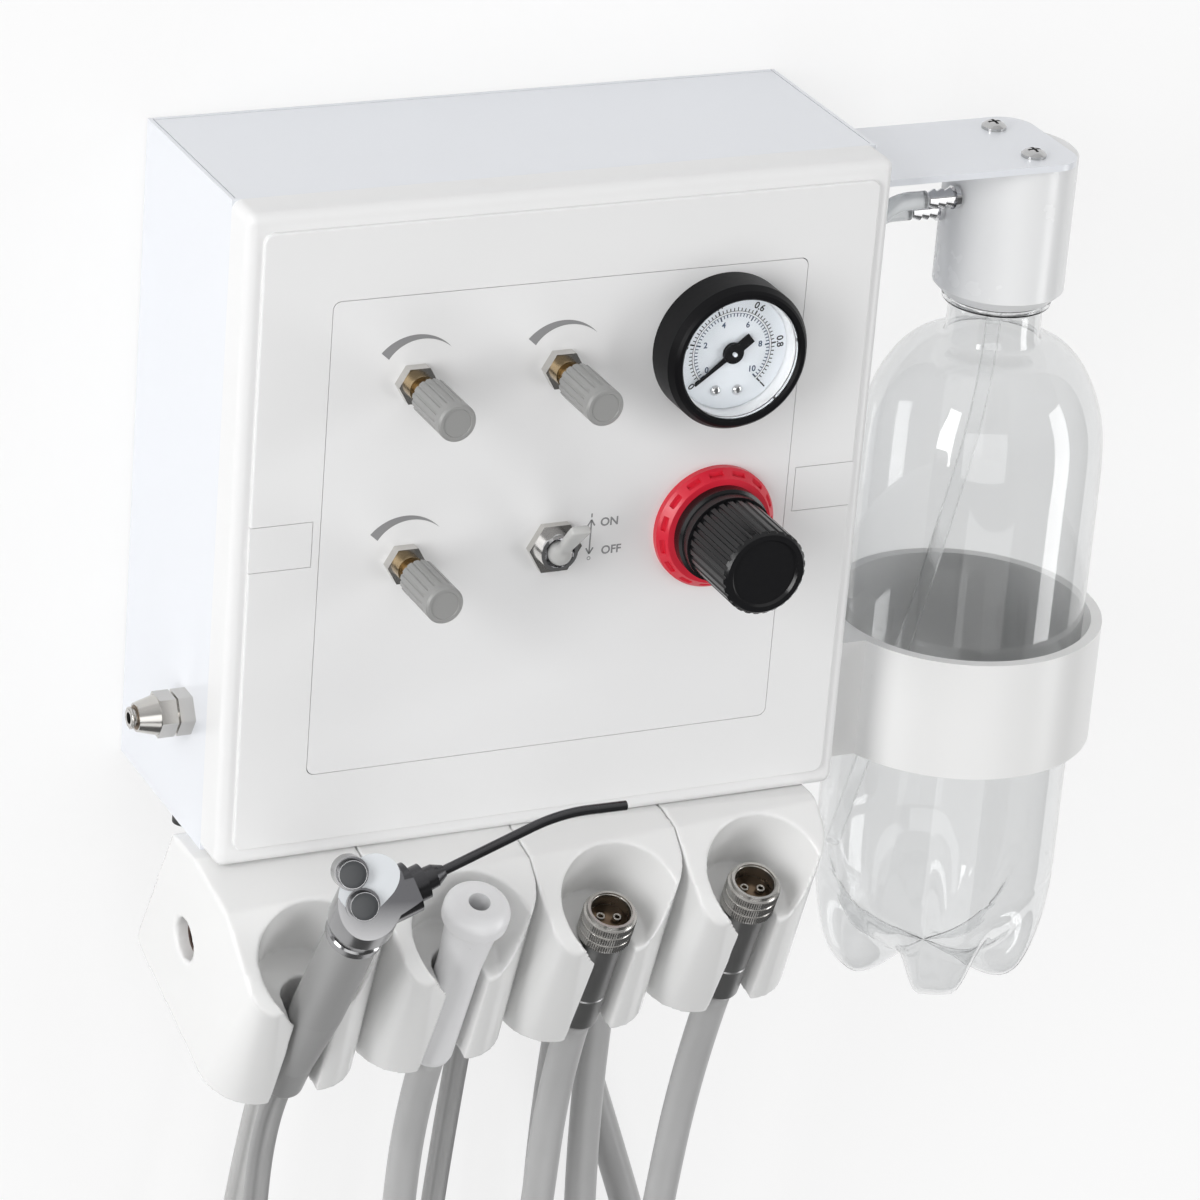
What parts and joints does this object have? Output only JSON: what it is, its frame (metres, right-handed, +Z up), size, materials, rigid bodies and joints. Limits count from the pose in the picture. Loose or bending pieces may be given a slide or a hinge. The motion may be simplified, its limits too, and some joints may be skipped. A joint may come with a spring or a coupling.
{
  "type": "portable dental unit",
  "caption": "Hanging dental delivery unit: control case with gauge, regulator and valves, water bottle, and instrument holders with syringe, suction and couplings.",
  "frame": {"origin": "centre of the back plate's rear face, where it lies on the wall", "axes": "+X to the right as seen from the front, +Y into the wall, +Z up"},
  "size_m": [0.32, 0.1452, 0.6968],
  "materials": {
    "case_paint": "satin bluish white",
    "bezel": "satin white",
    "panel": "satin white",
    "zinc": "zinc plated",
    "nickel": "polished nickel",
    "brass": "turned",
    "knob_grey": "satin light grey",
    "ring_red": "satin red",
    "knob_black": "satin black",
    "aluminium": "anodised",
    "dial": "printed",
    "needle": "satin black",
    "lens": "clear",
    "gauge_case": "gloss black",
    "cap_white": "satin white",
    "clear_bottle": "clear",
    "clear_tube": "translucent",
    "holder_white": "gloss moulded",
    "steel": "brushed",
    "handle_grey": "satin grey",
    "button_grey": "satin dark grey",
    "nozzle_steel": "dark satin",
    "hose_grey": "satin",
    "hose_light": "satin",
    "rubber_black": "matte",
    "suction_white": "satin white"
  },
  "bodies": {
    "unit": {"back_panel": "case_paint", "bottle_bracket": "case_paint", "bottle_cap": "cap_white", "bottle_ring": "cap_white", "bottle_tubes": "clear_tube", "cap_barbs": "nickel", "case_foot": "rubber_black", "case_shell": "case_paint", "control_panel": "panel", "dip_tube": "clear_tube", "flow_valve_bodies": "brass", "flow_valve_nuts": "nickel", "front_bezel": "bezel", "gauge_case": "gauge_case", "gauge_dial": "dial", "gauge_lens": "lens", "holder_1": "holder_white", "holder_2": "holder_white", "holder_3": "holder_white", "holder_4": "holder_white", "holder_bar": "aluminium", "holder_ear": "zinc", "hose_coupling_3": "hose_grey", "hose_coupling_4": "hose_grey", "hose_foot": "hose_light", "hose_glands": "rubber_black", "hose_suction": "hose_grey", "hose_syringe": "hose_grey", "inlet_bulkhead": "nickel", "inlet_cap_nut": "nickel", "pan_screws": "zinc", "panel_tabs": "bezel", "regulator_body": "aluminium", "regulator_bonnet": "knob_black", "regulator_ring": "ring_red", "toggle_body": "nickel", "toggle_nut": "nickel", "top_panel": "case_paint"},
    "flow_valve_1": {"flow_stem_1": "brass", "flow_knob_1": "knob_grey"},
    "flow_valve_2": {"flow_stem_2": "brass", "flow_knob_2": "knob_grey"},
    "flow_valve_3": {"flow_stem_3": "brass", "flow_knob_3": "knob_grey"},
    "toggle_lever": {"toggle_lever": "cap_white"},
    "gauge_needle": {"gauge_needle": "needle"},
    "regulator_spindle": {"regulator_stem": "steel"},
    "regulator_knob": {"regulator_knob": "knob_black"},
    "bottle_seal": {"bottle_gasket": "rubber_black"},
    "bottle": {"bottle": "clear_bottle"},
    "syringe": {"syringe_handle": "handle_grey", "syringe_head": "nickel"},
    "air_button": {"syringe_button_air": "button_grey"},
    "water_button": {"syringe_button_water": "button_grey"},
    "nozzle": {"syringe_nozzle": "nozzle_steel"},
    "suction": {"suction_handpiece": "suction_white"},
    "coupling_3": {"coupling_sleeve_3": "handle_grey"},
    "coupling_3_nut": {"coupling_nut_3": "nickel"},
    "coupling_4": {"coupling_sleeve_4": "handle_grey"},
    "coupling_4_nut": {"coupling_nut_4": "nickel"}
  },
  "joints": [
    {"name": "flow_knob_1_turn", "type": "hinge", "parent": "unit", "child": "flow_valve_1", "pos_m": [-0.0478, -0.0816, 0.0469], "axis": [0, -1, 0], "range_deg": [0, 1080]},
    {"name": "flow_knob_2_turn", "type": "hinge", "parent": "unit", "child": "flow_valve_2", "pos_m": [-0.0027, -0.0816, 0.0469], "axis": [0, -1, 0], "range_deg": [0, 1080]},
    {"name": "flow_knob_3_turn", "type": "hinge", "parent": "unit", "child": "flow_valve_3", "pos_m": [-0.0478, -0.0816, -0.0087], "axis": [0, -1, 0], "range_deg": [0, 1080]},
    {"name": "toggle_tip", "type": "hinge", "parent": "unit", "child": "toggle_lever", "pos_m": [-0.001, -0.0871, -0.009], "axis": [1, 0, 0], "range_deg": [0, 90]},
    {"name": "gauge_needle_turn", "type": "hinge", "parent": "unit", "child": "gauge_needle", "pos_m": [0.0483, -0.0896, 0.049], "axis": [0, 1, 0], "range_deg": [0, 264]},
    {"name": "regulator_turn", "type": "hinge", "parent": "unit", "child": "regulator_spindle", "pos_m": [0.0503, -0.0916, -0.0083], "axis": [0, 1, 0], "range_deg": [0, 1080]},
    {"name": "regulator_lock", "type": "slide", "parent": "regulator_spindle", "child": "regulator_knob", "axis": [0, -1, 0], "range_m": [0, 0.0025]},
    {"name": "bottle_lower", "type": "slide", "parent": "unit", "child": "bottle_seal", "axis": [0, 0, -1], "range_m": [0, 0.0045]},
    {"name": "bottle_unscrew", "type": "hinge", "parent": "bottle_seal", "child": "bottle", "pos_m": [0.158, -0.0471, 0.05], "axis": [0, 0, -1], "range_deg": [0, 540]},
    {"name": "syringe_lift", "type": "slide", "parent": "unit", "child": "syringe", "axis": [-0.0005, -0.5304, 0.8477], "range_m": [0, 0.06], "deforming": ["hose_syringe"]},
    {"name": "air_button_press", "type": "slide", "parent": "syringe", "child": "air_button", "axis": [0.1968, 0.9212, -0.3355], "range_m": [0, 0.0018], "stiffness_N_per_m": 300, "springref_m": -0.0008},
    {"name": "water_button_press", "type": "slide", "parent": "syringe", "child": "water_button", "axis": [0.1968, 0.9212, -0.3355], "range_m": [0, 0.0018], "stiffness_N_per_m": 300, "springref_m": -0.0008},
    {"name": "nozzle_swivel", "type": "hinge", "parent": "syringe", "child": "nozzle", "pos_m": [-0.06327, -0.13647, -0.08333], "axis": [0.9452, 0.0413, 0.3239], "continuous": true},
    {"name": "suction_lift", "type": "slide", "parent": "unit", "child": "suction", "axis": [-0.0082, -0.3995, 0.9167], "range_m": [0, 0.04], "deforming": ["hose_suction"]},
    {"name": "coupling_3_lift", "type": "slide", "parent": "unit", "child": "coupling_3", "axis": [-0.0093, -0.3802, 0.9248], "range_m": [0, 0.06], "deforming": ["hose_coupling_3"]},
    {"name": "coupling_3_nut_spin", "type": "hinge", "parent": "coupling_3", "child": "coupling_3_nut", "pos_m": [0.0197, -0.09624, -0.1281], "axis": [-0.0093, -0.3802, 0.9248], "continuous": true},
    {"name": "coupling_4_lift", "type": "slide", "parent": "unit", "child": "coupling_4", "axis": [-0.0093, -0.3802, 0.9248], "range_m": [0, 0.06], "deforming": ["hose_coupling_4"]},
    {"name": "coupling_4_nut_spin", "type": "hinge", "parent": "coupling_4", "child": "coupling_4_nut", "pos_m": [0.06823, -0.09412, -0.12675], "axis": [-0.0093, -0.3802, 0.9248], "continuous": true}
  ],
  "couplings": [
    {"joint": "bottle_lower", "follows": "bottle_unscrew", "m_per_rad": 0.00047746}
  ]
}
